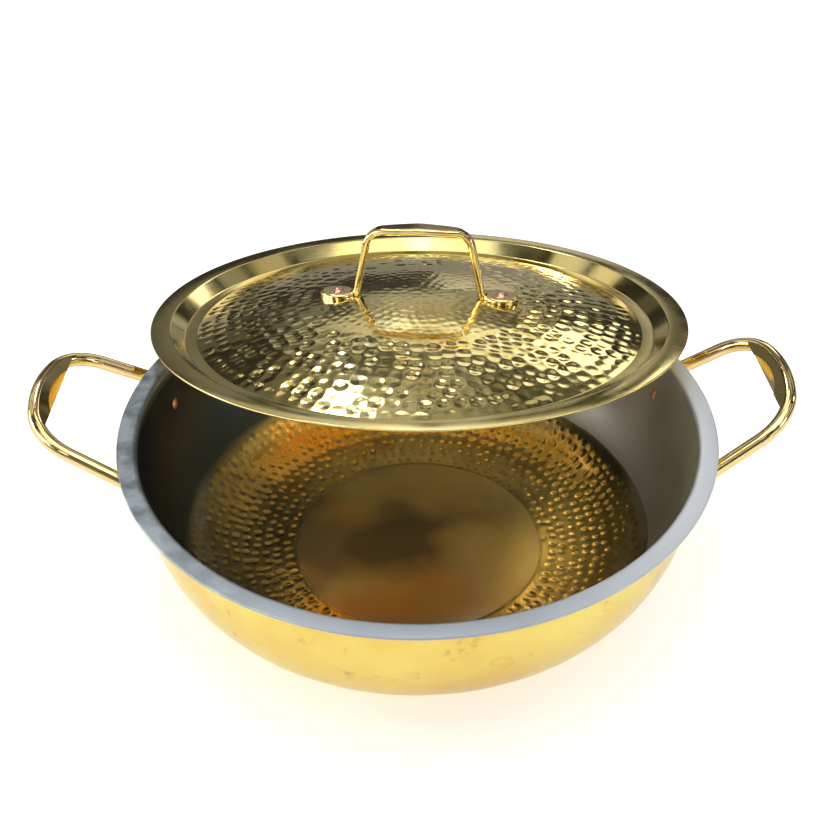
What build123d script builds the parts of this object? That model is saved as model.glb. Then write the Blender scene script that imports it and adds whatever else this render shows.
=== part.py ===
from build123d import *
from math import asin, atan2, cos, degrees, radians, sin, sqrt
import os

# A shallow round brass pan with two loop handles and a loose stepped lid.
# Millimetres. The origin is the middle of the flat base, +Z is up, +X points to the right handle.

# The pan
pan_height = 86.0
rim_radius = 150.0
wall_radius = 142.3
base_radius = 67.2
pan_gauge = 2.0
wall_top = 83.0
belly = 2.5
wall_steps = 8
rim_edge_round = 0.9
rim_inner_round = 2.6
rim_root_round = 0.9
level_slack = 0.05

# The side handles, each one rod bent to a loop with a flattened grip across its end
rod_radius = 3.5
handle_set_back = 2.8
loop_root_radius = 154.0
loop_root_height = 84.6
loop_half_width = 39.0
corner_radius = 27.0
tip_radius = 72.0
leg_splay = 8.0
leg_length = 31.5
foot_bend = 5.0
foot_end_height = 70.5
foot_end_inset = 2.0
left_reach = 39.6
left_rise = 27.4
right_reach = 37.4
right_rise = 34.0
grip_edge_inset = 9.2
grip_half_thickness = 3.4
grip_bevel_width = 4.2
grip_bevel_drop = 4.4
grip_bevel_half_length = 25.0

# The feet of the side handles
foot_height = 22.0
foot_width = 14.0
foot_thickness = 3.2
rivet_height = 62.0

# The rivets, all alike: a round head 1.75 times as wide as the shank, and a tail 1.5 times as wide
rivet_radius = 2.0
rivet_clearance = 0.05
rivet_head_radius = 1.75 * rivet_radius
rivet_head_height = 1.8
rivet_tail_radius = 1.5 * rivet_radius
rivet_tail_height = 0.7

# The lid
lid_radius = 146.0
lid_gauge = 1.2
step_top_radius = 135.6
step_foot_radius = 128.2
step_depth = 6.8
dome_radius = 122.0
dome_rise = 18.3
step_round = 1.6

# The lid handle, one forged strap with a round foot at each end
strap_thickness = 3.7
strap_half_width = 3.4
strap_height = 48.0
strap_shoulder_height = 46.4
strap_shoulder = 27.2
strap_foot_bend = 34.6
strap_shoulder_round = 10.0
strap_crown_round = 60.0
strap_foot_round = 4.0
strap_edge_round = 1.4
strap_outline_round = 3.0
strap_grip_half_length = 29.2
strap_grip_half_width = 6.2
pad_half_length = 9.4
pad_half_width = 8.4
pad_thickness = 2.9
lid_rivet_offset = 45.1

# Where the loose lid rests, leaning back over the far rim
lid_centre = (3.5, 82.8, 95.75)
lid_heading = 1.45
lid_lean = 11.7
lid_turn = 6.0


def wall_point(turn, inset):
    """A point inside the belly curve's ends, moved inwards by inset; turn is above 0 and below 90."""
    angle = radians(turn)
    power = 2 / belly
    radius = base_radius + (wall_radius - base_radius) * sin(angle) ** power
    height = wall_top * (1 - cos(angle) ** power)
    run = (wall_radius - base_radius) * power * sin(angle) ** (power - 1) * cos(angle)
    climb = wall_top * power * cos(angle) ** (power - 1) * sin(angle)
    length = sqrt(run * run + climb * climb)
    return (radius - inset * climb / length, height + inset * run / length)


def belly_curve(inset):
    """The wall's curve from the edge of the base to the root of the rim, moved inwards by inset."""
    turns = [90 * step / wall_steps for step in range(1, wall_steps)]
    base_edge = (base_radius, inset)
    rim_root = (wall_radius - inset, wall_top)
    return [base_edge, *(wall_point(turn, inset) for turn in turns), rim_root]


def wall_radius_at(height):
    """The pan's outer radius at a height, from the belly formula."""
    rest = (1 - height / wall_top) ** (belly / 2)
    return base_radius + (wall_radius - base_radius) * sqrt(1 - rest * rest) ** (2 / belly)


# The feet of a handle stand on the wall this far round from its middle, and lean with the wall.
foot_turn = degrees(asin((loop_half_width + leg_length * sin(radians(leg_splay))) / wall_radius))
foot_rise = wall_radius_at(rivet_height + foot_height / 2) - wall_radius_at(rivet_height - foot_height / 2)
wall_lean = degrees(atan2(foot_rise, foot_height))
handle_azimuths = {"left": 180 - handle_set_back, "right": handle_set_back}


def foot_plane(azimuth):
    """A plane on the wall at a rivet: z points straight out of the wall and x points down."""
    turn = Location((0, 0, 0), (0, 0, azimuth))
    stand = Location((wall_radius_at(rivet_height), 0, rivet_height), (0, 90 + wall_lean, 0))
    return Plane(turn * stand)


def foot_planes(azimuth):
    """The planes of a handle's two rivets."""
    return [foot_plane(azimuth + turn) for turn in (foot_turn, -foot_turn)]


# The bowl is spun and beaten from one sheet, with its edge turned out flat as a rim.
outer = belly_curve(0.0)
inner = belly_curve(pan_gauge)
with BuildPart() as bowl:
    with BuildSketch(Plane.XZ) as bowl_section:
        with BuildLine():
            Polyline(inner[0], (0, pan_gauge), (0, 0), outer[0])
            Spline(outer, tangents=((1, 0), (0, 1)))
            Polyline(
                outer[-1],
                (wall_radius, pan_height - pan_gauge),
                (rim_radius, pan_height - pan_gauge),
                (rim_radius, pan_height),
                (inner[-1][0], pan_height),
                inner[-1],
            )
            Spline(inner, tangents=((1, 0), (0, 1)))
        make_face()
        fillet(bowl_section.vertices().group_by(Axis.X)[-1], rim_edge_round)
    revolve(axis=Axis.Z)
    for azimuth in handle_azimuths.values():
        for plane in foot_planes(azimuth):
            with BuildSketch(plane):
                Circle(rivet_radius + rivet_clearance)
            extrude(amount=2 * pan_gauge, both=True, mode=Mode.SUBTRACT)
    # The rim turns out of the wall in a round lip, with a small round under it.
    for level, corner_round in ((pan_height, rim_inner_round), (pan_height - pan_gauge, rim_root_round)):
        rings = bowl.edges().filter_by(GeomType.CIRCLE)
        rings = rings.filter_by_position(Axis.Z, level - level_slack, level + level_slack)
        fillet(rings.sort_by(SortBy.RADIUS)[0], corner_round)

# Everything within the outside face of the wall, to trim what is riveted against it.
with BuildPart() as wall_core:
    with BuildSketch(Plane.XZ):
        with BuildLine():
            Polyline(outer[-1], (0, wall_top), (0, 0), outer[0])
            Spline(outer, tangents=((1, 0), (0, 1)))
        make_face()
    revolve(axis=Axis.Z)


def side_handle(azimuth, reach, rise):
    """One loop handle: rod legs under the rim, a bevelled grip at the tip, two feet on the wall."""
    stand = Location((0, 0, 0), (0, 0, azimuth)) * Location(
        (loop_root_radius, 0, loop_root_height), (0, -rise, 0)
    )
    loop = Plane(stand)
    tip_u = reach - tip_radius
    corner_v = loop_half_width - corner_radius
    corner_u = tip_u + sqrt((tip_radius - corner_radius) ** 2 - corner_v**2)
    tip_angle = degrees(atan2(corner_v, corner_u - tip_u))
    shoulder_u = corner_u + corner_radius * sin(radians(leg_splay))
    shoulder_v = corner_v + corner_radius * cos(radians(leg_splay))
    heel_u = shoulder_u - leg_length * cos(radians(leg_splay))
    heel_v = shoulder_v + leg_length * sin(radians(leg_splay))
    grip_u = reach - grip_edge_inset
    grip_angle = degrees(atan2(sqrt(corner_radius**2 - (grip_u - corner_u) ** 2), grip_u - corner_u))
    with BuildPart() as handle:
        # The rod follows the loop from foot to foot.
        with BuildLine(loop) as path:
            CenterArc((tip_u, 0), tip_radius, -tip_angle, 2 * tip_angle)
            for hand, plane in zip((1, -1), foot_planes(azimuth)):
                arc_size = hand * (90 - leg_splay - tip_angle)
                CenterArc((corner_u, hand * corner_v), corner_radius, hand * tip_angle, arc_size)
                foot_end = plane.from_local_coords((rivet_height - foot_end_height, 0, foot_end_inset))
                FilletPolyline(
                    (shoulder_u, hand * shoulder_v),
                    (heel_u, hand * heel_v),
                    tuple(loop.to_local_coords(foot_end)),
                    radius=foot_bend,
                )
        route = path.wires()[0]
        with BuildSketch(Plane(origin=route @ 0, z_dir=route % 0)):
            Circle(rod_radius)
        sweep(path=route)
        # The grip fills the end of the loop up to a straight inner edge, bevelled on top.
        with BuildSketch(loop):
            with BuildLine():
                CenterArc((tip_u, 0), tip_radius, -tip_angle, 2 * tip_angle)
                upper = CenterArc((corner_u, corner_v), corner_radius, tip_angle, grip_angle - tip_angle)
                lower = CenterArc((corner_u, -corner_v), corner_radius, -tip_angle, tip_angle - grip_angle)
                Line(upper @ 1, lower @ 1)
            make_face()
        extrude(amount=grip_half_thickness, both=True)
        bevel_slope = degrees(atan2(grip_bevel_drop, grip_bevel_width))
        bevel_reach = sqrt(grip_bevel_drop**2 + grip_bevel_width**2)
        bevel_foot = Location((grip_u, 0, grip_half_thickness - grip_bevel_drop), (0, -bevel_slope, 0))
        with BuildSketch(Plane(stand * bevel_foot)):
            with BuildLine():
                Polyline(
                    (0, grip_bevel_half_length),
                    (-grip_bevel_width, grip_bevel_half_length),
                    (-grip_bevel_width, -grip_bevel_half_length),
                    (0, -grip_bevel_half_length),
                )
                ThreePointArc((0, -grip_bevel_half_length), (bevel_reach, 0), (0, grip_bevel_half_length))
            make_face()
        extrude(amount=2 * rod_radius, mode=Mode.SUBTRACT)
        # Each leg ends in a flat oval foot, shaped to the wall and drilled for its rivet.
        for plane in foot_planes(azimuth):
            with BuildSketch(plane.offset(-2 * pan_gauge)):
                SlotOverall(foot_height, foot_width)
            extrude(amount=2 * pan_gauge + foot_thickness)
        add(wall_core.part, mode=Mode.SUBTRACT)
        add(bowl.part, mode=Mode.SUBTRACT)
        for plane in foot_planes(azimuth):
            with BuildSketch(plane):
                Circle(rivet_radius + rivet_clearance)
            extrude(amount=2 * foot_thickness, both=True, mode=Mode.SUBTRACT)
    return handle


def rivet(plane, top, bottom):
    """A rivet through a plane along its z: a domed head standing on top, a low tail under bottom."""
    head_ball = (rivet_head_radius**2 + rivet_head_height**2) / (2 * rivet_head_height)
    tail_ball = (rivet_tail_radius**2 + rivet_tail_height**2) / (2 * rivet_tail_height)
    with BuildPart() as piece:
        with BuildSketch(Plane(origin=plane.origin, x_dir=plane.x_dir, z_dir=-plane.y_dir)):
            with BuildLine():
                head = CenterArc(
                    (0, top + rivet_head_height - head_ball),
                    head_ball,
                    90,
                    -degrees(asin(rivet_head_radius / head_ball)),
                )
                tail = CenterArc(
                    (0, bottom - rivet_tail_height + tail_ball),
                    tail_ball,
                    -90,
                    degrees(asin(rivet_tail_radius / tail_ball)),
                )
                Polyline(head @ 1, (rivet_radius, top), (rivet_radius, bottom), tail @ 1)
                Line(tail @ 0, head @ 0)
            make_face()
        revolve(axis=Axis(plane.origin, plane.z_dir))
    return piece


# The lid leans on the rim: its own frame has z along its axis and x along its handle.
lid_stand = (
    Location(lid_centre)
    * Location((0, 0, 0), (0, 0, -lid_heading))
    * Location((0, 0, 0), (-lid_lean, 0, 0))
    * Location((0, 0, 0), (0, 0, -lid_turn))
)
lid_plane = Plane(lid_stand)
lid_section = Plane(origin=lid_plane.origin, x_dir=lid_plane.x_dir, z_dir=-lid_plane.y_dir)
lid_axis = Axis(lid_plane.origin, lid_plane.z_dir)
dome_ball = (dome_radius**2 + dome_rise**2) / (2 * dome_rise)
dome_top = dome_rise - step_depth


def dome_height(radius):
    """The height of the dome's upper face over the flange, at a distance from the lid's axis."""
    return dome_top - dome_ball + sqrt(dome_ball**2 - radius**2)


# The lid is one spun sheet: a flat flange, a step down into the pan and a hammered dome.
with BuildPart() as lid_plate:
    with BuildSketch(lid_section):
        with BuildLine():
            dome = CenterArc(
                (0, dome_top - dome_ball), dome_ball, 90, -degrees(asin(dome_radius / dome_ball))
            )
            step = FilletPolyline(
                dome @ 1,
                (step_foot_radius, -step_depth),
                (step_top_radius, 0),
                (lid_radius, 0),
                radius=step_round,
            )
            offset(amount=lid_gauge, side=Side.RIGHT)
        make_face()
    revolve(axis=lid_axis)
    with BuildSketch(lid_plane):
        with Locations((lid_rivet_offset, 0), (-lid_rivet_offset, 0)):
            Circle(rivet_radius + rivet_clearance)
    extrude(amount=dome_rise, both=True, mode=Mode.SUBTRACT)

# The space under the dome's upper face, to shape the handle's feet to it.
with BuildPart() as dome_core:
    with BuildSketch(lid_section):
        with BuildLine():
            dome = CenterArc(
                (0, dome_top - dome_ball), dome_ball, 90, -degrees(asin(dome_radius / dome_ball))
            )
            Polyline(dome @ 1, (0, -step_depth), dome @ 0)
        make_face()
    revolve(axis=lid_axis)

# The lid handle is a strap bent to an arch, widened over the top and flattened into two round feet.
pad_top = dome_height(lid_rivet_offset) + pad_thickness
pad_level = pad_top - strap_thickness / 2
with BuildPart() as lid_handle:
    with BuildSketch(lid_section):
        with BuildLine() as arch:
            FilletPolyline(
                (lid_rivet_offset + pad_half_length, pad_level),
                (strap_foot_bend, pad_level),
                (strap_shoulder, strap_shoulder_height),
                (0, strap_height),
                (-strap_shoulder, strap_shoulder_height),
                (-strap_foot_bend, pad_level),
                (-lid_rivet_offset - pad_half_length, pad_level),
                radius=(
                    strap_foot_round,
                    strap_shoulder_round,
                    strap_crown_round,
                    strap_shoulder_round,
                    strap_foot_round,
                ),
            )
        trace(line_width=strap_thickness)
    extrude(amount=2 * pad_half_width, both=True)
    with BuildSketch(lid_plane) as strap_outline:
        Ellipse(strap_grip_half_length, strap_grip_half_width)
        Rectangle(2 * lid_rivet_offset, 2 * strap_half_width)
        with Locations((lid_rivet_offset, 0), (-lid_rivet_offset, 0)):
            Ellipse(pad_half_length, pad_half_width)
        strap_corners = strap_outline.vertices().group_by(Axis.Y)
        fillet(strap_corners[0] + strap_corners[-1], strap_outline_round)
    extrude(amount=2 * strap_height, mode=Mode.INTERSECT)
    # The edges are rounded all the way along. The feet stay square where they meet the dome.
    fillet(lid_handle.edges(), strap_edge_round)
    with BuildSketch(lid_plane.offset(pad_level)):
        with Locations((lid_rivet_offset, 0), (-lid_rivet_offset, 0)):
            Ellipse(pad_half_length, pad_half_width)
    extrude(amount=-strap_thickness)
    add(dome_core.part, mode=Mode.SUBTRACT)
    with BuildSketch(lid_plane):
        with Locations((lid_rivet_offset, 0), (-lid_rivet_offset, 0)):
            Circle(rivet_radius + rivet_clearance)
    extrude(amount=2 * pad_top, mode=Mode.SUBTRACT)

pieces = {
    "bowl": bowl,
    "left_handle": side_handle(handle_azimuths["left"], left_reach, left_rise),
    "right_handle": side_handle(handle_azimuths["right"], right_reach, right_rise),
    "lid_plate": lid_plate,
    "lid_handle": lid_handle,
}
wall_back = -pan_gauge - 2 * rivet_clearance
for side, azimuth in handle_azimuths.items():
    for plane in foot_planes(azimuth):
        place = "back" if plane.origin.Y > 0 else "front"
        pieces[f"{side}_{place}_rivet"] = rivet(plane, foot_thickness, wall_back)
for side, hand in (("left", -1), ("right", 1)):
    plane = Plane(lid_stand * Location((hand * lid_rivet_offset, 0, 0)))
    dome_back = dome_height(lid_rivet_offset + rivet_tail_radius) - lid_gauge - rivet_clearance
    pieces[f"lid_{side}_rivet"] = rivet(plane, pad_top, dome_back)

os.makedirs("parts", exist_ok=True)
for name, piece in pieces.items():
    piece.part.label = name
    export_step(piece.part, f"parts/{name}.step")
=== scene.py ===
from math import cos, pi, radians, sin, sqrt, tan

import bpy
from mathutils import Matrix, Vector


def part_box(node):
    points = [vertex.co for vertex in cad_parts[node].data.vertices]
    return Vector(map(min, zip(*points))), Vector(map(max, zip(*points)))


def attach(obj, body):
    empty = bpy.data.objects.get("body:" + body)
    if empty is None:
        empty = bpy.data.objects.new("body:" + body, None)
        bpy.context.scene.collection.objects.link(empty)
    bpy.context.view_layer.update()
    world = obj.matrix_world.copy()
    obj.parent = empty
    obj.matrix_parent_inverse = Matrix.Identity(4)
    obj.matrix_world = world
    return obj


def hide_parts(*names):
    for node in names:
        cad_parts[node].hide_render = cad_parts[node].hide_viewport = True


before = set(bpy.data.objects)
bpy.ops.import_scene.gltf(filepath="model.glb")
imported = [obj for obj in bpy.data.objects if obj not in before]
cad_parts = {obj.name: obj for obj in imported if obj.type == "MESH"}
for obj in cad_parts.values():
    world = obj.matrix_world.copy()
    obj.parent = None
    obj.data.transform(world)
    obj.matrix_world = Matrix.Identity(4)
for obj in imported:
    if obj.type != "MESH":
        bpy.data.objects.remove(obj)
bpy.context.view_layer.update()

# The pan is one sheet of brass, spun to a round belly and then beaten from the inside in close
# courses. Its edge is turned out flat as a rim. The inside and the rim are wiped with tin, and the
# outside is polished over shallow planishing marks.
rim_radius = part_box("bowl")[1].x
pan_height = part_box("bowl")[1].z
wall_radius = 0.1423
wall_top = 0.083
base_radius = 0.0672
belly = 2.5
pan_gauge = 0.002
rim_edge_round = 0.0009
rim_lip_round = 0.0026
rim_root_round = 0.0009
floor_groove_radius = 0.0664
floor_groove_width = 0.0008
floor_groove_depth = 0.00015
beaten_from = 0.0672
beaten_to = 0.1215
planished_from = (0.0004, 0.003)
planished_to = (0.072, 0.08)
upper_share = 0.6
pan_segments = 720
course_step = 0.0009
smooth_step = 0.0022
outer_step = 0.0032
rim_facets = 4

tin_colour = (0.49, 0.53, 0.57, 1)
tin_worn_colour = (0.95, 0.82, 0.60, 1)
tin_deep_colour = (0.95, 0.84, 0.62, 1)
# Burnt, smoked and clean tin below also paint warm reflections, shade and highlights inside the pan.
tin_burnt_and_reflection_colour = (0.95, 0.62, 0.30, 1)
tin_smoke_and_shade_colour = (0.33, 0.31, 0.32, 1)
# The shaded and wall tin paint shade on the left of the wall and light on its right.
tin_wall_painted_shade_colour = (0.08, 0.10, 0.14, 1)
tin_wall_painted_light_colour = (1.0, 0.96, 0.80, 1)
# The bright tin paints light on the right of the rim.
tin_rim_painted_light_colour = (0.80, 0.83, 0.87, 1)
# The dull tin paints stains and shade on the left of the rim.
tin_stain_and_shade_colour = (0.20, 0.23, 0.25, 1)
tin_painted_light_colour = (1.0, 0.88, 0.60, 1)
brass_colour = (0.91, 0.73, 0.20, 1)
brass_warm_colour = (0.80, 0.55, 0.13, 1)
brass_stain_colour = (0.55, 0.33, 0.08, 1)


def rounded(corners, rounds, facets):
    """The points of a section through its corners, each inner corner rounded by its own radius."""
    points = [Vector(corners[0])]
    for before, corner, after, size in zip(corners, corners[1:], corners[2:], rounds):
        corner = Vector(corner)
        back = (Vector(before) - corner).normalized()
        ahead = (Vector(after) - corner).normalized()
        half_turn = back.angle(ahead) / 2
        middle = (back + ahead).normalized()
        centre = corner + middle * (size / sin(half_turn))
        start = corner + back * (size / tan(half_turn)) - centre
        end = corner + ahead * (size / tan(half_turn)) - centre
        for facet in range(facets + 1):
            points.append(centre + start.slerp(end, facet / facets).normalized() * size)
    return points + [Vector(corners[-1])]


def evenly(points, step):
    """The same section with its points spread evenly, about step apart."""
    lengths = [0.0]
    for one, two in zip(points, points[1:]):
        lengths.append(lengths[-1] + (two - one).length)
    count = max(1, round(lengths[-1] / step))
    spread = []
    place = 0
    for mark in range(count + 1):
        target = lengths[-1] * mark / count
        while place < len(points) - 2 and lengths[place + 1] < target:
            place += 1
        share = (target - lengths[place]) / (lengths[place + 1] - lengths[place])
        spread.append(points[place].lerp(points[place + 1], min(share, 1.0)))
    return spread


def lathe(name, stations):
    """A closed mesh turned about Z. A station is (point, segments, side, beaten): side is 1 on the
    inner or upper face and -1 on the other, and beaten runs from 0 to 1 where the hammer went."""
    points, sides, marks, faces = [], [], [], []
    rings = []
    for point, segments, side, beaten in stations:
        count = 1 if point.x < 1e-7 else segments
        rings.append((len(points), count))
        for turn in range(count):
            angle = 2 * pi * turn / count
            points.append((point.x * cos(angle), point.x * sin(angle), point.y))
            sides.append(side)
            marks.append(beaten)
    for (first, many), (second, more) in zip(rings, rings[1:]):
        for turn in range(max(many, more)):
            after = turn + 1
            corners = [
                first + turn * many // max(many, more) % many,
                second + turn * more // max(many, more) % more,
                second + after * more // max(many, more) % more,
                first + after * many // max(many, more) % many,
            ]
            faces.append([c for place, c in enumerate(corners) if c not in corners[:place]])
    mesh = bpy.data.meshes.new(name)
    mesh.from_pydata(points, [], faces)
    for label, values in (("side", sides), ("beaten", marks)):
        mesh.attributes.new(label, "FLOAT", "POINT").data.foreach_set("value", values)
    mesh.shade_smooth()
    piece = bpy.data.objects.new(name, mesh)
    bpy.context.scene.collection.objects.link(piece)
    return piece


def ramp(value, low, high):
    """How far a value has come from low to high, from 0 to 1."""
    return min(max((value - low) / (high - low), 0.0), 1.0)


def belly_point(turn, inset):
    """A point of the belly curve, moved inwards by inset; turn runs from 0 at the base to 90."""
    if turn == 0:
        return Vector((base_radius, inset))
    if turn == 90:
        return Vector((wall_radius - inset, wall_top))
    angle = radians(turn)
    power = 2 / belly
    reach = wall_radius - base_radius
    run = reach * power * sin(angle) ** (power - 1) * cos(angle)
    climb = wall_top * power * cos(angle) ** (power - 1) * sin(angle)
    wall = Vector((base_radius + reach * sin(angle) ** power, wall_top * (1 - cos(angle) ** power)))
    return wall + Vector((-climb, run)).normalized() * inset


def beaten_share(radius):
    """How strongly the hammer marks the pan at a radius: all of it on the slope, none beyond."""
    edge = 0.0012
    fade = 0.004
    return ramp(radius, beaten_from, beaten_from + edge) * (1 - ramp(radius, beaten_to - fade, beaten_to))


def add_node(tree, kind, values=None, **settings):
    """A node of a tree, with its settings, and its sockets linked or set."""
    made = tree.nodes.new(kind)
    for label, value in settings.items():
        setattr(made, label, value)
    for socket, value in (values or {}).items():
        if isinstance(value, bpy.types.NodeSocket):
            tree.links.new(value, made.inputs[socket])
        else:
            made.inputs[socket].default_value = value
    return made


def maths(tree, operation, *values):
    """The result of a Math node."""
    made = add_node(tree, "ShaderNodeMath", dict(enumerate(values)), operation=operation)
    return made.outputs[0]


def centred(tree, value, spread):
    """A noise value made to run evenly on both sides of nothing, and spread."""
    return maths(tree, "MULTIPLY", maths(tree, "SUBTRACT", value, 0.5), spread)


def hammer_tree():
    """A node tree that beats one face of a turned sheet: a spiral of blows along a section curve,
    each pressing a round mark that meets its neighbours in a ridge. Waver bends the whole sheet."""
    tree = bpy.data.node_groups.new("hammer_courses", "GeometryNodeTree")
    for label, kind in (
        ("Sheet", "NodeSocketGeometry"),
        ("Section", "NodeSocketObject"),
        ("Courses", "NodeSocketInt"),
        ("Spacing", "NodeSocketFloat"),
        ("Mark Radius", "NodeSocketFloat"),
        ("Mark Depth", "NodeSocketFloat"),
        ("Wander", "NodeSocketFloat"),
        ("Lightest Blow", "NodeSocketFloat"),
        ("Waver", "NodeSocketFloat"),
        ("Seed", "NodeSocketInt"),
        ("Side", "NodeSocketFloat"),
        ("Finish", "NodeSocketMaterial"),
    ):
        tree.interface.new_socket(label, in_out="INPUT", socket_type=kind)
    tree.interface.new_socket("Sheet", in_out="OUTPUT", socket_type="NodeSocketGeometry")
    given = add_node(tree, "NodeGroupInput").outputs

    # The blows follow a spiral: the section curve is walked once while the angle turns steadily.
    steps_per_course = 96
    line = add_node(tree, "GeometryNodeCurvePrimitiveLine").outputs[0]
    steps = maths(tree, "MULTIPLY", given["Courses"], steps_per_course)
    walk = add_node(tree, "GeometryNodeResampleCurve", {"Curve": line, "Count": steps})
    share = add_node(tree, "GeometryNodeSplineParameter").outputs["Factor"]
    section = add_node(tree, "GeometryNodeObjectInfo", {"Object": given["Section"]})
    sampled = add_node(
        tree, "GeometryNodeSampleCurve", {"Curves": section.outputs["Geometry"], "Factor": share},
        use_all_curves=True,
    )
    place = add_node(tree, "ShaderNodeSeparateXYZ", {0: sampled.outputs["Position"]}).outputs
    turns = maths(tree, "MULTIPLY", share, given["Courses"])
    angle = maths(tree, "MULTIPLY", turns, 2 * pi)
    spiral_point = add_node(
        tree,
        "ShaderNodeCombineXYZ",
        {
            "X": maths(tree, "MULTIPLY", place["X"], maths(tree, "COSINE", angle)),
            "Y": maths(tree, "MULTIPLY", place["X"], maths(tree, "SINE", angle)),
            "Z": place["Z"],
        },
    )
    spiral = add_node(
        tree, "GeometryNodeSetPosition",
        {"Geometry": walk.outputs[0], "Position": spiral_point.outputs[0]},
    )
    blows = add_node(
        tree, "GeometryNodeCurveToPoints",
        {"Curve": spiral.outputs[0], "Length": given["Spacing"]}, mode="LENGTH",
    )
    wander = add_node(
        tree, "FunctionNodeRandomValue", {"Min": (-1, -1, -1), "Max": (1, 1, 1), "Seed": given["Seed"]},
        data_type="FLOAT_VECTOR",
    )
    shift = add_node(
        tree, "ShaderNodeVectorMath", {0: wander.outputs[0], "Scale": given["Wander"]}, operation="SCALE"
    )
    blows = add_node(
        tree, "GeometryNodeSetPosition", {"Geometry": blows.outputs[0], "Offset": shift.outputs[0]}
    )

    # Each point of the sheet is pressed in by the nearest blow, and the whole sheet bends a little.
    mark_fullness = 1.15
    waver_scale = 24.0
    nearest = add_node(
        tree, "GeometryNodeProximity", {0: blows.outputs[0]}, target_element="POINTS"
    )
    blow = add_node(
        tree, "GeometryNodeSampleNearest", {"Geometry": blows.outputs[0]}, domain="POINT"
    )
    weight = add_node(
        tree, "FunctionNodeRandomValue",
        {2: given["Lightest Blow"], 3: 1.0, "ID": blow.outputs[0], "Seed": given["Seed"]},
        data_type="FLOAT",
    )
    reach = maths(tree, "DIVIDE", nearest.outputs["Distance"], given["Mark Radius"])
    reach = maths(tree, "MINIMUM", reach, 1.0)
    rest = maths(tree, "SUBTRACT", 1.0, maths(tree, "MULTIPLY", reach, reach))
    press = maths(tree, "POWER", rest, mark_fullness)
    side = add_node(tree, "GeometryNodeInputNamedAttribute", {"Name": "side"}, data_type="FLOAT")
    beaten = add_node(tree, "GeometryNodeInputNamedAttribute", {"Name": "beaten"}, data_type="FLOAT")
    own = maths(tree, "GREATER_THAN", maths(tree, "MULTIPLY", side.outputs[0], given["Side"]), 0.0)
    depth = maths(tree, "MULTIPLY", press, maths(tree, "MULTIPLY", weight.outputs[1], given["Mark Depth"]))
    broad = add_node(tree, "ShaderNodeTexNoise", {"Scale": waver_scale, "Detail": 1.0}).outputs[0]
    depth = maths(tree, "ADD", depth, centred(tree, broad, given["Waver"]))
    depth = maths(tree, "MULTIPLY", depth, maths(tree, "MULTIPLY", own, beaten.outputs[0]))
    normal = add_node(tree, "GeometryNodeInputNormal").outputs[0]
    dent = add_node(
        tree, "ShaderNodeVectorMath", {0: normal, "Scale": maths(tree, "MULTIPLY", depth, -1.0)},
        operation="SCALE",
    )
    pressed = add_node(
        tree, "GeometryNodeSetPosition", {"Geometry": given["Sheet"], "Offset": dent.outputs[0]}
    )
    whole = add_node(tree, "GeometryNodeRealizeInstances", {0: pressed.outputs[0]})
    finished = add_node(
        tree, "GeometryNodeSetMaterial",
        {"Geometry": whole.outputs[0], "Selection": own, "Material": given["Finish"]},
    )
    add_node(tree, "NodeGroupOutput", {0: finished.outputs[0]})
    return tree


def section_curve(points):
    """A curve object along a section, for the courses to follow."""
    line = bpy.data.curves.new("section", "CURVE")
    line.dimensions = "3D"
    spline = line.splines.new("POLY")
    spline.points.add(len(points) - 1)
    for knot, point in zip(spline.points, points):
        knot.co = (point.x, 0, point.y, 1)
    curve = bpy.data.objects.new("section", line)
    bpy.context.scene.collection.objects.link(curve)
    return curve


hammer = hammer_tree()


def beat(piece, courses):
    """Beats a turned sheet with courses given as (section, inputs) and makes it a plain mesh. The
    last finish is also that of the narrow faces between the two sides."""
    sections = []
    piece.data.materials.append(courses[-1][1]["Finish"])
    for section, inputs in courses:
        sections.append(section_curve(section))
        modifier = piece.modifiers.new("hammer", "NODES")
        modifier.node_group = hammer
        for item in hammer.interface.items_tree:
            if item.in_out == "INPUT" and item.name in inputs:
                modifier[item.identifier] = inputs[item.name]
            if item.name == "Section":
                modifier[item.identifier] = sections[-1]
    graph = bpy.context.evaluated_depsgraph_get()
    mesh = bpy.data.meshes.new_from_object(piece.evaluated_get(graph))
    piece.modifiers.clear()
    piece.data = mesh
    for section in sections:
        bpy.data.objects.remove(section)


def new_material(name, **constants):
    """A node material with its shader's constants set on the shader's own sockets."""
    material = bpy.data.materials.new(name)
    material.use_nodes = True
    shader = material.node_tree.nodes["Principled BSDF"]
    for socket, value in constants.items():
        shader.inputs[socket.replace("_", " ")].default_value = value
    return material, material.node_tree, shader


def turned_coordinates(tree, place=None):
    """Radius, angle and height about a turned piece's own axis, from Object coordinates."""
    spot = add_node(tree, "ShaderNodeTexCoord").outputs["Object"]
    if place is not None:
        spot = add_node(
            tree,
            "ShaderNodeMapping",
            {"Vector": spot, "Location": place.to_translation(), "Rotation": place.to_euler()},
            vector_type="TEXTURE",
        ).outputs[0]
    x, y, z = add_node(tree, "ShaderNodeSeparateXYZ", {0: spot}).outputs
    squares = maths(tree, "ADD", maths(tree, "MULTIPLY", x, x), maths(tree, "MULTIPLY", y, y))
    return spot, maths(tree, "SQRT", squares), maths(tree, "ARCTAN2", y, x), z


def noise(tree, spot, scale, detail, roughness=0.5):
    """The value of a noise pattern."""
    made = add_node(
        tree, "ShaderNodeTexNoise",
        {"Vector": spot, "Scale": scale, "Detail": detail, "Roughness": roughness},
    )
    return made.outputs[0]


def scaled(tree, value, low, high, to_low, to_high):
    """A value taken from one range to another."""
    made = add_node(
        tree, "ShaderNodeMapRange",
        {"Value": value, "From Min": low, "From Max": high, "To Min": to_low, "To Max": to_high},
    )
    return made.outputs[0]


def blended(tree, share, one, two):
    """A colour between two."""
    made = add_node(tree, "ShaderNodeMix", {"Factor": share, "A": one, "B": two}, data_type="RGBA")
    return made.outputs[2]


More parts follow.
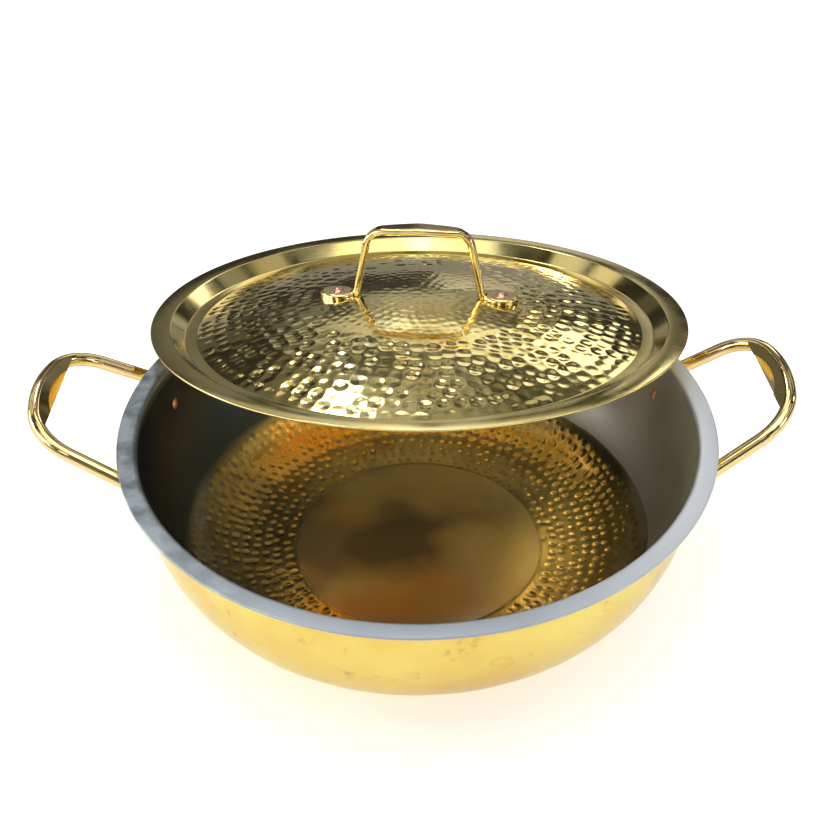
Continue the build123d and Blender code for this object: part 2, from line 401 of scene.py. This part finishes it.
def brush_lines(tree, radius, angle, height, across, along):
    """Fine lines that run round a turned piece, as noise stretched along the turning."""
    spot = add_node(
        tree,
        "ShaderNodeCombineXYZ",
        {
            "X": maths(tree, "MULTIPLY", maths(tree, "ADD", radius, height), across),
            "Y": maths(tree, "MULTIPLY", angle, along),
            "Z": maths(tree, "MULTIPLY", height, across),
        },
    )
    return noise(tree, spot.outputs[0], 1.0, 4.0, 0.6)


# Patches of painted light and shade on the tin inside, each as (colour, middle, reach, strength): painted
# shade and dark reflections in the darker colour, painted highlights and warm reflections in the lighter
# ones.
tin_painted_light_patches = (
    (tin_smoke_and_shade_colour, (-0.105, 0.0, 0.01), (0.068, 0.12, 0.06), 1.0),
    (tin_painted_light_colour, (0.10, 0.03, 0.01), (0.06, 0.09, 0.06), 0.9),
    (tin_smoke_and_shade_colour, (-0.01, 0.0, 0.002), (0.055, 0.030, 0.02), 1.0),
    (tin_painted_light_colour, (0.0, 0.046, 0.002), (0.06, 0.014, 0.02), 0.8),
    (tin_burnt_and_reflection_colour, (-0.025, -0.055, 0.002), (0.045, 0.018, 0.02), 0.9),
    (tin_painted_light_colour, (0.041, -0.010, 0.002), (0.034, 0.032, 0.02), 1.0),
    (tin_burnt_and_reflection_colour, (-0.055, 0.085, 0.01), (0.04, 0.02, 0.02), 0.8),
)
tin_sheen = (0.05, 0.22)
floor_dulling = 0.21
wall_dulling = 0.22
rim_dulling = 0.26


def tinned_finish():
    """Tin wiped over brass: blue grey on the rim, thinner and warmer down the slope and the floor, with
    painted light and shade.
    """
    material, tree, shader = new_material("tinned_brass", Metallic=1.0)
    spot, radius, angle, height = turned_coordinates(tree)
    x = add_node(tree, "ShaderNodeSeparateXYZ", {0: spot}).outputs[0]
    cloud = noise(tree, spot, 28.0, 1.5)

    # The slope and the floor: worn and deep tin, clouded by heat, painted shade in the groove, and patches
    # of painted light and shade.
    level = maths(tree, "ADD", height, centred(tree, cloud, 0.02))
    warm = blended(tree, scaled(tree, level, 0.0, 0.03, 0.0, 1.0), tin_deep_colour, tin_worn_colour)
    heat = noise(tree, spot, 13.0, 2.0)
    warm = blended(tree, scaled(tree, heat, 0.52, 0.68, 0.0, 0.8), warm, tin_burnt_and_reflection_colour)
    warm = blended(tree, scaled(tree, heat, 0.46, 0.34, 0.0, 0.7), warm, tin_smoke_and_shade_colour)
    from_groove = maths(tree, "ABSOLUTE", maths(tree, "SUBTRACT", radius, floor_groove_radius))
    # Painted shade: the groove is painted dark.
    groove_painted_shade = scaled(tree, from_groove, 0.0003, 0.0012, 0.75, 0.0)
    warm = blended(tree, groove_painted_shade, warm, tin_smoke_and_shade_colour)
    # Each patch paints light or shade onto the tin as colour.
    for patch_colour, middle, reach, strength in tin_painted_light_patches:
        away = add_node(tree, "ShaderNodeVectorMath", {0: spot, 1: middle}, operation="SUBTRACT").outputs[0]
        away = add_node(tree, "ShaderNodeVectorMath", {0: away, 1: reach}, operation="DIVIDE").outputs[0]
        away = add_node(tree, "ShaderNodeVectorMath", {0: away}, operation="LENGTH").outputs["Value"]
        away = maths(tree, "ADD", away, centred(tree, cloud, 0.8))
        warm = blended(tree, scaled(tree, away, 1.1, 0.5, 0.0, strength), warm, patch_colour)

    # Wall and rim: painted shade on the left, painted light on the right; the rim's dull stains paint shade
    # on its left too.
    edge = maths(tree, "ADD", radius, centred(tree, cloud, 0.004))
    past_marks = scaled(tree, edge, beaten_to - 0.003, beaten_to + 0.002, 0.0, 1.0)
    # Painted shade on the left of the wall and painted light on its right, as a tone across x.
    wall = blended(tree, scaled(tree, x, -0.08, 0.1, 0.0, 1.0), tin_wall_painted_shade_colour, tin_wall_painted_light_colour)
    wall = blended(tree, past_marks, warm, wall)
    # Painted light: the rim is lighter towards the right and darker towards the left.
    rim = blended(tree, scaled(tree, x, 0.04, 0.13, 0.0, 1.0), tin_colour, tin_rim_painted_light_colour)
    colour = blended(tree, scaled(tree, height, 0.078, 0.084, 0.0, 1.0), wall, rim)
    on_rim = scaled(tree, height, 0.0835, 0.0855, 0.0, 1.0)
    # Dull stains on the left of the rim, at least a fifth strong everywhere there, which paints shade on
    # that side.
    stain_and_shade = scaled(tree, noise(tree, spot, 70.0, 4.0), 0.4, 0.6, 0.2, 1.0)
    stain_and_shade = maths(tree, "MULTIPLY", stain_and_shade, scaled(tree, x, -0.06, -0.14, 0.0, 1.0))
    colour = blended(tree, maths(tree, "MULTIPLY", stain_and_shade, on_rim), colour, tin_stain_and_shade_colour)
    tree.links.new(colour, shader.inputs["Base Color"])

    # The hammer leaves the slope bright, and the floor, the wall and the rim are wiped duller.
    smear = noise(tree, spot, 45.0, 1.0)
    within_groove = floor_groove_radius - 0.001
    on_floor = scaled(tree, radius, floor_groove_radius, within_groove, 0.0, floor_dulling)
    on_wall = scaled(tree, radius, beaten_to - 0.001, beaten_to + 0.001, 0.0, wall_dulling)
    rough = scaled(tree, smear, 0.1, 0.9, *tin_sheen)
    rough = maths(tree, "ADD", rough, maths(tree, "MULTIPLY", on_rim, rim_dulling))
    rough = maths(tree, "ADD", rough, maths(tree, "ADD", on_floor, on_wall))
    tree.links.new(rough, shader.inputs["Roughness"])
    lines = brush_lines(tree, radius, angle, height, 1400.0, 2.5)
    bump = add_node(tree, "ShaderNodeBump", {"Height": lines, "Strength": 0.25, "Distance": 0.00006})
    tree.links.new(bump.outputs[0], shader.inputs["Normal"])
    return material


def polished_finish(name, bright, warm, place=None, sheen=(0.07, 0.17), ripple=0.0, stain=None):
    """Polished brass: a cloudy change of tone, soft haze where it was handled, fine buffing lines, the
    ripple that the polisher leaves in a cast or forged piece, and small stains."""
    material, tree, shader = new_material(name, Metallic=1.0)
    spot, radius, angle, height = turned_coordinates(tree, place)
    cloud = noise(tree, spot, 22.0, 5.0, 0.55)
    colour = blended(tree, scaled(tree, cloud, 0.35, 0.7, 0.0, 1.0), bright, warm)
    if stain:
        spots = noise(tree, spot, 95.0, 3.0, 0.6)
        colour = blended(tree, scaled(tree, spots, 0.60, 0.72, 0.0, 0.55), colour, stain)
    tree.links.new(colour, shader.inputs["Base Color"])
    haze = noise(tree, spot, 60.0, 4.0, 0.6)
    tree.links.new(scaled(tree, haze, 0.3, 0.75, *sheen), shader.inputs["Roughness"])
    lines = brush_lines(tree, radius, angle, height, 1500.0, 3.0)
    bump = add_node(tree, "ShaderNodeBump", {"Height": lines, "Strength": 0.15, "Distance": 0.00004})
    if ripple:
        waves = noise(tree, spot, 60.0, 1.5)
        bump = add_node(
            tree,
            "ShaderNodeBump",
            {"Height": waves, "Strength": 1.0, "Distance": ripple, "Normal": bump.outputs[0]},
        )
    tree.links.new(bump.outputs[0], shader.inputs["Normal"])
    return material


inner_curve = [belly_point(turn, pan_gauge) for turn in range(91)]
beaten_inner = evenly([point for point in inner_curve if point.x <= beaten_to], course_step)
smooth_curve = [point for point in inner_curve if point.x > beaten_to]
smooth_inner = evenly([beaten_inner[-1], *smooth_curve], smooth_step)
inner_wall = beaten_inner + smooth_inner[1:]
outer_wall = evenly([belly_point(turn, 0) for turn in range(91)], outer_step)
rim_section = rounded(
    [
        inner_wall[-1],
        (wall_radius - pan_gauge, pan_height),
        (rim_radius, pan_height),
        (rim_radius, pan_height - pan_gauge),
        (wall_radius, pan_height - pan_gauge),
        outer_wall[-1],
    ],
    [rim_lip_round, rim_edge_round, rim_edge_round, rim_root_round],
    rim_facets,
)
half = pan_segments // 2
quarter = pan_segments // 4
floor_stations = [
    (Vector((radius, height)), count, 1, 0)
    for radius, height, count in (
        (0.0, pan_gauge, 1),
        (0.004, pan_gauge, 40),
        (0.016, pan_gauge, 80),
        (0.032, pan_gauge, quarter),
        (0.050, pan_gauge, half),
        (floor_groove_radius - floor_groove_width, pan_gauge, pan_segments),
        (floor_groove_radius, pan_gauge - floor_groove_depth, pan_segments),
    )
]
wall_stations = [
    (point, pan_segments if point.x < beaten_to + course_step else half, 1, beaten_share(point.x))
    for point in inner_wall
]
rim_upper = pan_height - upper_share * pan_gauge
rim_stations = [
    (point, half, 1 if point.y > rim_upper or point.x < wall_radius else -1, 0)
    for point in rim_section[1:-1]
]
outer_stations = [
    (point, half, -1, ramp(point.y, *planished_from) * (1 - ramp(point.y, *planished_to)))
    for point in reversed(outer_wall)
]
base_stations = [
    (Vector((radius, 0.0)), count, -1, 0)
    for radius, count in ((0.060, half), (0.040, quarter), (0.020, 80), (0.006, 40), (0.0, 1))
]
bowl = lathe("pan", floor_stations + wall_stations + rim_stations + outer_stations + base_stations)
pan_tin = tinned_finish()
pan_brass = polished_finish(
    "pan_brass",
    brass_colour,
    brass_warm_colour,
    sheen=(0.10, 0.22),
    ripple=0.00025,
    stain=brass_stain_colour,
)
beat(
    bowl,
    [
        (
            beaten_inner,
            {
                "Courses": 10,
                "Spacing": 0.0058,
                "Mark Radius": 0.0022,
                "Mark Depth": 0.00048,
                "Wander": 0.0012,
                "Lightest Blow": 0.5,
                "Waver": 0.0004,
                "Seed": 3,
                "Side": 1.0,
                "Finish": pan_tin,
            },
        ),
        (
            outer_wall,
            {
                "Courses": 13,
                "Spacing": 0.0095,
                "Mark Radius": 0.0066,
                "Mark Depth": 0.00012,
                "Wander": 0.0016,
                "Lightest Blow": 0.3,
                "Waver": 0.0008,
                "Seed": 8,
                "Side": -1.0,
                "Finish": pan_brass,
            },
        ),
    ],
)
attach(bowl, "pan")
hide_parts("bowl")

# The side handles are rods of cast brass, bent to a loop and polished bright. Each is flattened to
# a dished grip across its end and riveted to the wall through two oval feet.
handle_bright = (0.93, 0.74, 0.36, 1)
handle_warm = (0.88, 0.62, 0.24, 1)
handle_finish = polished_finish(
    "handle_brass", handle_bright, handle_warm, sheen=(0.05, 0.12), ripple=0.0002
)
for name in ("left_handle", "right_handle"):
    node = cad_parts[name]
    node.data.materials.clear()
    node.data.materials.append(handle_finish)

# The rivets are short copper pins that hold the feet of the handles to the pan and the lid. Each has
# a domed head on the foot, and its other end is beaten down low on the far side of the sheet.
copper_bright = (0.93, 0.55, 0.42, 1)
copper_dark = (0.62, 0.27, 0.18, 1)
copper_finish = polished_finish("copper", copper_bright, copper_dark, sheen=(0.18, 0.34))
for name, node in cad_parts.items():
    if name.endswith("_rivet"):
        node.data.materials.clear()
        node.data.materials.append(copper_finish)

# The lid is a second sheet of brass: a flat flange to lie on the rim, a polished step that drops
# into the pan, and a low dome beaten from above in courses that widen towards its edge.
lid_radius = 0.146
lid_gauge = 0.0012
step_top_radius = 0.1356
step_foot_radius = 0.1282
step_depth = 0.0068
dome_radius = 0.122
dome_rise = 0.0183
step_round = 0.0016
lid_edge_round = 0.0005
lid_centre = Vector((0.0035, 0.0828, 0.09575))
lid_stand = (
    Matrix.Translation(lid_centre)
    @ Matrix.Rotation(radians(-1.45), 4, "Z")
    @ Matrix.Rotation(radians(-11.7), 4, "X")
    @ Matrix.Rotation(radians(-6.0), 4, "Z")
)
lid_bright = (0.90, 0.77, 0.34, 1)
lid_warm = (0.84, 0.63, 0.20, 1)
dome_ball = (dome_radius**2 + dome_rise**2) / (2 * dome_rise)
dome_step = 0.0012
lid_facets = 6
lid_top_segments = 640
lid_under_segments = 320
coarser_within = ((0.012, 16), (0.03, 4), (0.062, 2))
top_marks_end = (0.1175, 0.1215)
under_marks_end = (0.1165, 0.1205)
inner_dome_end = 0.062
outer_dome_start = 0.058


def dome_point(radius, drop):
    """A point of the dome's section on its upper face, or drop below that."""
    depth = sqrt((dome_ball - drop) ** 2 - radius**2)
    return Vector((radius, dome_rise - step_depth - dome_ball + depth))


def dome_section(drop, step):
    """The dome's section from its middle to its edge, drop below its upper face."""
    reach = dome_radius * (dome_ball - drop) / dome_ball
    shares = 60
    return evenly([dome_point(reach * share / shares, drop) for share in range(shares + 1)], step)


dome_top = dome_section(0.0, dome_step)
dome_under = dome_section(lid_gauge, 2 * dome_step)
dome_edge = dome_top[-1]
slant_gauge = 0.4 * lid_gauge
lid_border = rounded(
    [
        dome_top[-3],
        dome_edge,
        (step_foot_radius, -step_depth),
        (step_top_radius, 0),
        (lid_radius, 0),
        (lid_radius, -lid_gauge),
        (step_top_radius + slant_gauge, -lid_gauge),
        (step_foot_radius + slant_gauge, -step_depth - lid_gauge),
        (dome_under[-1].x, -step_depth - lid_gauge),
        dome_under[-3],
    ],
    [step_round, step_round, step_round, lid_edge_round, lid_edge_round]
    + [step_round + lid_gauge, step_round, step_round],
    lid_facets,
)


def lid_segments(radius, most):
    """The number of segments at a radius, fewer towards the middle of the dome."""
    for limit, share in coarser_within:
        if radius < limit:
            return most // share
    return most


lid_upper = -step_depth - upper_share * lid_gauge
lid_stations = [
    (point, lid_segments(point.x, lid_top_segments), 1, 1 - ramp(point.x, *top_marks_end))
    for point in dome_top[:-2]
]
lid_stations += [
    (point, lid_top_segments, 1 if point.y > lid_upper else -1, 0) for point in lid_border[1:-1]
]
lid_stations += [
    (point, lid_segments(point.x, lid_under_segments), -1, 1 - ramp(point.x, *under_marks_end))
    for point in reversed(dome_under[:-2])
]
lid_plate = lathe("lid", lid_stations)
lid_finish = polished_finish("lid_brass", lid_bright, lid_warm, place=lid_stand)
inner_dome = [point for point in dome_top if point.x < inner_dome_end]
outer_dome = [point for point in dome_top if outer_dome_start < point.x < top_marks_end[1]]
beat(
    lid_plate,
    [
        (
            inner_dome,
            {
                "Courses": 11,
                "Spacing": 0.0050,
                "Mark Radius": 0.0026,
                "Mark Depth": 0.00013,
                "Wander": 0.0008,
                "Lightest Blow": 0.4,
                "Waver": 0.0010,
                "Seed": 5,
                "Side": 1.0,
                "Finish": lid_finish,
            },
        ),
        (
            outer_dome,
            {
                "Courses": 8,
                "Spacing": 0.0080,
                "Mark Radius": 0.0041,
                "Mark Depth": 0.00055,
                "Wander": 0.0012,
                "Lightest Blow": 0.15,
                "Waver": 0.0,
                "Seed": 6,
                "Side": 1.0,
                "Finish": lid_finish,
            },
        ),
        (
            dome_under,
            {
                "Courses": 17,
                "Spacing": 0.0074,
                "Mark Radius": 0.0042,
                "Mark Depth": -0.00022,
                "Wander": 0.0008,
                "Lightest Blow": 0.5,
                "Waver": 0.0,
                "Seed": 5,
                "Side": -1.0,
                "Finish": lid_finish,
            },
        ),
    ],
)
lid_plate.data.transform(lid_stand)
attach(lid_plate, "lid")
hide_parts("lid_plate")

# The lid handle is a forged strap, bent to an arch and dished along its top. Its two feet are
# riveted to the dome.
lid_handle_finish = polished_finish(
    "lid_handle_brass",
    handle_bright,
    handle_warm,
    place=lid_stand,
    sheen=(0.06, 0.14),
    ripple=0.00015,
)
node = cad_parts["lid_handle"]
node.data.materials.clear()
node.data.materials.append(lid_handle_finish)

# The pan stands on a plain pale floor in a white studio, under soft lamps above, behind and at each
# side. The floor and the world are shown white, and light the pan less than they show.
floor_size = 12.0
floor_colour = (0.93, 0.93, 0.93, 1)
floor_lift = 0.54
floor_far_lift = 1.0
floor_fade_from = 0.35
floor_fade_to = 1.1
floor_mirror_lift = 0.37
world_colour = (0.98, 0.99, 1.0, 1)
world_level = 0.42
world_shown_level = 1.02
bpy.ops.mesh.primitive_plane_add(size=floor_size)
floor = bpy.context.object
floor.name = "floor"
floor_material, floor_tree, floor_shader = new_material(
    "floor", Base_Color=floor_colour, Emission_Color=(1, 1, 1, 1), Roughness=0.9
)
rays = add_node(floor_tree, "ShaderNodeLightPath").outputs
floor_away = turned_coordinates(floor_tree)[1]
floor_fade = scaled(
    floor_tree, floor_away, floor_fade_from, floor_fade_to, floor_lift, floor_far_lift
)
floor_shown = maths(floor_tree, "MAXIMUM", rays["Is Camera Ray"], rays["Is Transmission Ray"])
floor_shown = maths(floor_tree, "MULTIPLY", floor_shown, floor_fade)
floor_mirrored = maths(floor_tree, "MULTIPLY", rays["Is Glossy Ray"], floor_mirror_lift)
floor_level = maths(floor_tree, "ADD", floor_shown, floor_mirrored)
floor_tree.links.new(floor_level, floor_shader.inputs["Emission Strength"])
floor.data.materials.append(floor_material)

world = bpy.data.worlds.new("studio")
bpy.context.scene.world = world
world.use_nodes = True
backdrop = world.node_tree.nodes["Background"]
backdrop.inputs["Color"].default_value = world_colour
rays = add_node(world.node_tree, "ShaderNodeLightPath").outputs
world_shown = maths(world.node_tree, "MAXIMUM", rays["Is Camera Ray"], rays["Is Transmission Ray"])
world_shown = scaled(world.node_tree, world_shown, 0.0, 1.0, world_level, world_shown_level)
world.node_tree.links.new(world_shown, backdrop.inputs["Strength"])


def softbox(name, place, aim, size, brightness):
    """A square soft lamp that faces a point; its brightness is that of its own face."""
    lamp = bpy.data.lights.new(name, "AREA")
    lamp.shape = "RECTANGLE"
    lamp.size, lamp.size_y = size
    lamp.energy = brightness * pi * size[0] * size[1]
    box = bpy.data.objects.new(name, lamp)
    box.location = place
    box.rotation_euler = (Vector(aim) - Vector(place)).to_track_quat("-Z", "Y").to_euler()
    bpy.context.scene.collection.objects.link(box)


softbox("top_lamp", (0.0, -0.1, 1.3), (0, 0, 0), (1.2, 1.0), 1.6)
softbox("window", (-0.25, 0.95, 1.0), (0, 0, 0.1), (0.12, 0.16), 16.0)
softbox("back_lamp", (0.5, 1.15, 0.55), (0, 0, 0.1), (0.22, 0.3), 1.8)
softbox("right_lamp", (1.1, 0.3, 0.6), (0, 0, 0.1), (0.12, 0.2), 6.0)
softbox("left_lamp", (-1.1, 0.1, 0.5), (0, 0, 0.1), (0.14, 0.2), 14.0)

# A tent of darker and lighter panels stands all round and a grey cloth lies behind, so that the
# polished brass has something to mirror. Only mirrors see them. A soft panel is (azimuth, elevation,
# width, height, brightness), its angles in degrees, and a brightness below 0 makes it dark.
tent_radius = 1.8
tent_turns = 48
tent_rings = 12
tent_panel_width = 0.34
tent_panel_height = 0.16
tent_brightest = 2.6
tent_darkest = 0.04
tent_back = 88
tent_least = 0.02
soft_panels = (
    (98, 60, 44, 14, 1.8),
    (88, 20, 10, 14, 0.2),
    (86, 40, 12, 9, 0.25),
    (80, 28, 30, 10, 1.0),
    (178, 15, 60, 24, 3.5),
    (2, 22, 40, 8, 0.5),
    (66, 14, 24, 18, -0.5),
    (-150, 26, 26, 9, 9.0),
    (-30, 26, 20, 9, 5.0),
)
cloth_inner = 0.17
cloth_outer = 1.7
cloth_height = 0.0004
cloth_middle_level = 0.22
cloth_side_level = 1.0
tent_corners = [
    (
        tent_radius * cos(pi / 2 * ring / tent_rings) * cos(2 * pi * turn / tent_turns),
        tent_radius * cos(pi / 2 * ring / tent_rings) * sin(2 * pi * turn / tent_turns),
        tent_radius * sin(pi / 2 * ring / tent_rings),
    )
    for ring in range(tent_rings)
    for turn in range(tent_turns)
]
tent_faces = [
    (
        ring * tent_turns + turn,
        (ring + 1) * tent_turns + turn,
        (ring + 1) * tent_turns + (turn + 1) % tent_turns,
        ring * tent_turns + (turn + 1) % tent_turns,
    )
    for ring in range(tent_rings - 1)
    for turn in range(tent_turns)
]
tent_faces.append(tuple(range((tent_rings - 1) * tent_turns, tent_rings * tent_turns)))
cloth_turns = range(tent_turns // 2 + 1)
cloth_corners = [
    (radius * cos(2 * pi * turn / tent_turns), radius * sin(2 * pi * turn / tent_turns), cloth_height)
    for radius in (cloth_inner, cloth_outer)
    for turn in cloth_turns
]
cloth_faces = [
    (turn, turn + 1, len(cloth_turns) + turn + 1, len(cloth_turns) + turn)
    for turn in range(len(cloth_turns) - 1)
]
screen_look = {"Base_Color": (0, 0, 0, 1), "Emission_Color": (1, 1, 1, 1), "Roughness": 1.0}
tent_material, tent_tree, tent_shader = new_material("tent", **screen_look)
tent_spot, _, tent_angle, tent_z = turned_coordinates(tent_tree)
tent_y = add_node(tent_tree, "ShaderNodeSeparateXYZ", {0: tent_spot}).outputs["Y"]
tent_rise = maths(tent_tree, "DIVIDE", tent_z, tent_radius)
panel_place = add_node(tent_tree, "ShaderNodeCombineXYZ", {"X": tent_angle, "Y": tent_rise})
panels = add_node(
    tent_tree,
    "ShaderNodeTexBrick",
    {
        "Vector": panel_place.outputs[0],
        "Color1": (0, 0, 0, 1),
        "Color2": (1, 1, 1, 1),
        "Mortar": (0.05, 0.05, 0.05, 1),
        "Scale": 1.0,
        "Mortar Size": 0.02,
        "Mortar Smooth": 0.3,
        "Brick Width": tent_panel_width,
        "Row Height": tent_panel_height,
    },
)
panel_level = maths(tent_tree, "POWER", panels.outputs["Color"], 2.0)
panel_level = maths(tent_tree, "MULTIPLY", panel_level, tent_brightest)
panel_level = maths(tent_tree, "ADD", panel_level, tent_darkest)
off_middle = maths(tent_tree, "ABSOLUTE", maths(tent_tree, "SUBTRACT", tent_angle, radians(tent_back)))
side_level = scaled(tent_tree, off_middle, radians(6), radians(20), 1.0, 0.36)
front_level = scaled(tent_tree, tent_y, 0.0, -0.5 * tent_radius, 0.0, 0.55)
low_level = scaled(tent_tree, tent_z, 0.0, 0.2 * tent_radius, 0.5, 1.0)
tent_level = maths(tent_tree, "MULTIPLY", panel_level, maths(tent_tree, "ADD", side_level, front_level))
tent_level = maths(tent_tree, "MULTIPLY", tent_level, low_level)
for azimuth, elevation, width, height, brightness in soft_panels:
    turn = maths(tent_tree, "SUBTRACT", tent_angle, radians(azimuth))
    turn = maths(tent_tree, "ABSOLUTE", maths(tent_tree, "WRAP", turn, pi, -pi))
    lift = maths(tent_tree, "SUBTRACT", maths(tent_tree, "ARCSINE", tent_rise), radians(elevation))
    lift = maths(tent_tree, "ABSOLUTE", lift)
    across = scaled(tent_tree, turn, radians(width / 2), radians(width / 3), 0.0, brightness)
    upright = scaled(tent_tree, lift, radians(height / 2), radians(height / 3), 0.0, 1.0)
    tent_level = maths(tent_tree, "ADD", tent_level, maths(tent_tree, "MULTIPLY", across, upright))
tent_level = maths(tent_tree, "MAXIMUM", tent_level, tent_least)
tent_tree.links.new(tent_level, tent_shader.inputs["Emission Strength"])
cloth_material, cloth_tree, cloth_shader = new_material("cloth", **screen_look)
cloth_angle = turned_coordinates(cloth_tree)[2]
to_side = maths(cloth_tree, "ABSOLUTE", maths(cloth_tree, "SUBTRACT", cloth_angle, pi / 2))
cloth_level = scaled(
    cloth_tree, to_side, radians(45), radians(85), cloth_middle_level, cloth_side_level
)
cloth_tree.links.new(cloth_level, cloth_shader.inputs["Emission Strength"])
for name, corners, faces, material in (
    ("tent", tent_corners, tent_faces, tent_material),
    ("cloth", cloth_corners, cloth_faces, cloth_material),
):
    mesh = bpy.data.meshes.new(name)
    mesh.from_pydata(corners, [], faces)
    mesh.materials.append(material)
    screen = bpy.data.objects.new(name, mesh)
    bpy.context.scene.collection.objects.link(screen)
    screen.visible_camera = False
    screen.visible_diffuse = False
    screen.visible_shadow = False
    screen.visible_transmission = False

# The camera stands in front of the pan and looks down into it. Its place and lens come from the
# ellipses of the rim and the floor.
camera_place = Vector((0.0, -0.522, 0.4856))
camera_tilt = 0.650
camera_roll = -0.007
camera_heading = 0.003
pan_turn = radians(-1.45)
photo_width = 828
focal_pixels = 1300
lens = bpy.data.cameras.new("camera")
lens.sensor_width = 36.0
lens.lens = lens.sensor_width * focal_pixels / photo_width
lens.clip_start = 0.01
camera = bpy.data.objects.new("camera", lens)
camera.matrix_world = (
    Matrix.Rotation(pan_turn, 4, "Z")
    @ Matrix.Translation(camera_place)
    @ Matrix.Rotation(camera_heading, 4, "Z")
    @ Matrix.Rotation(pi / 2 - camera_tilt, 4, "X")
    @ Matrix.Rotation(camera_roll, 4, "Z")
)
bpy.context.scene.collection.objects.link(camera)
bpy.context.scene.camera = camera
bpy.context.scene.view_settings.view_transform = "Standard"
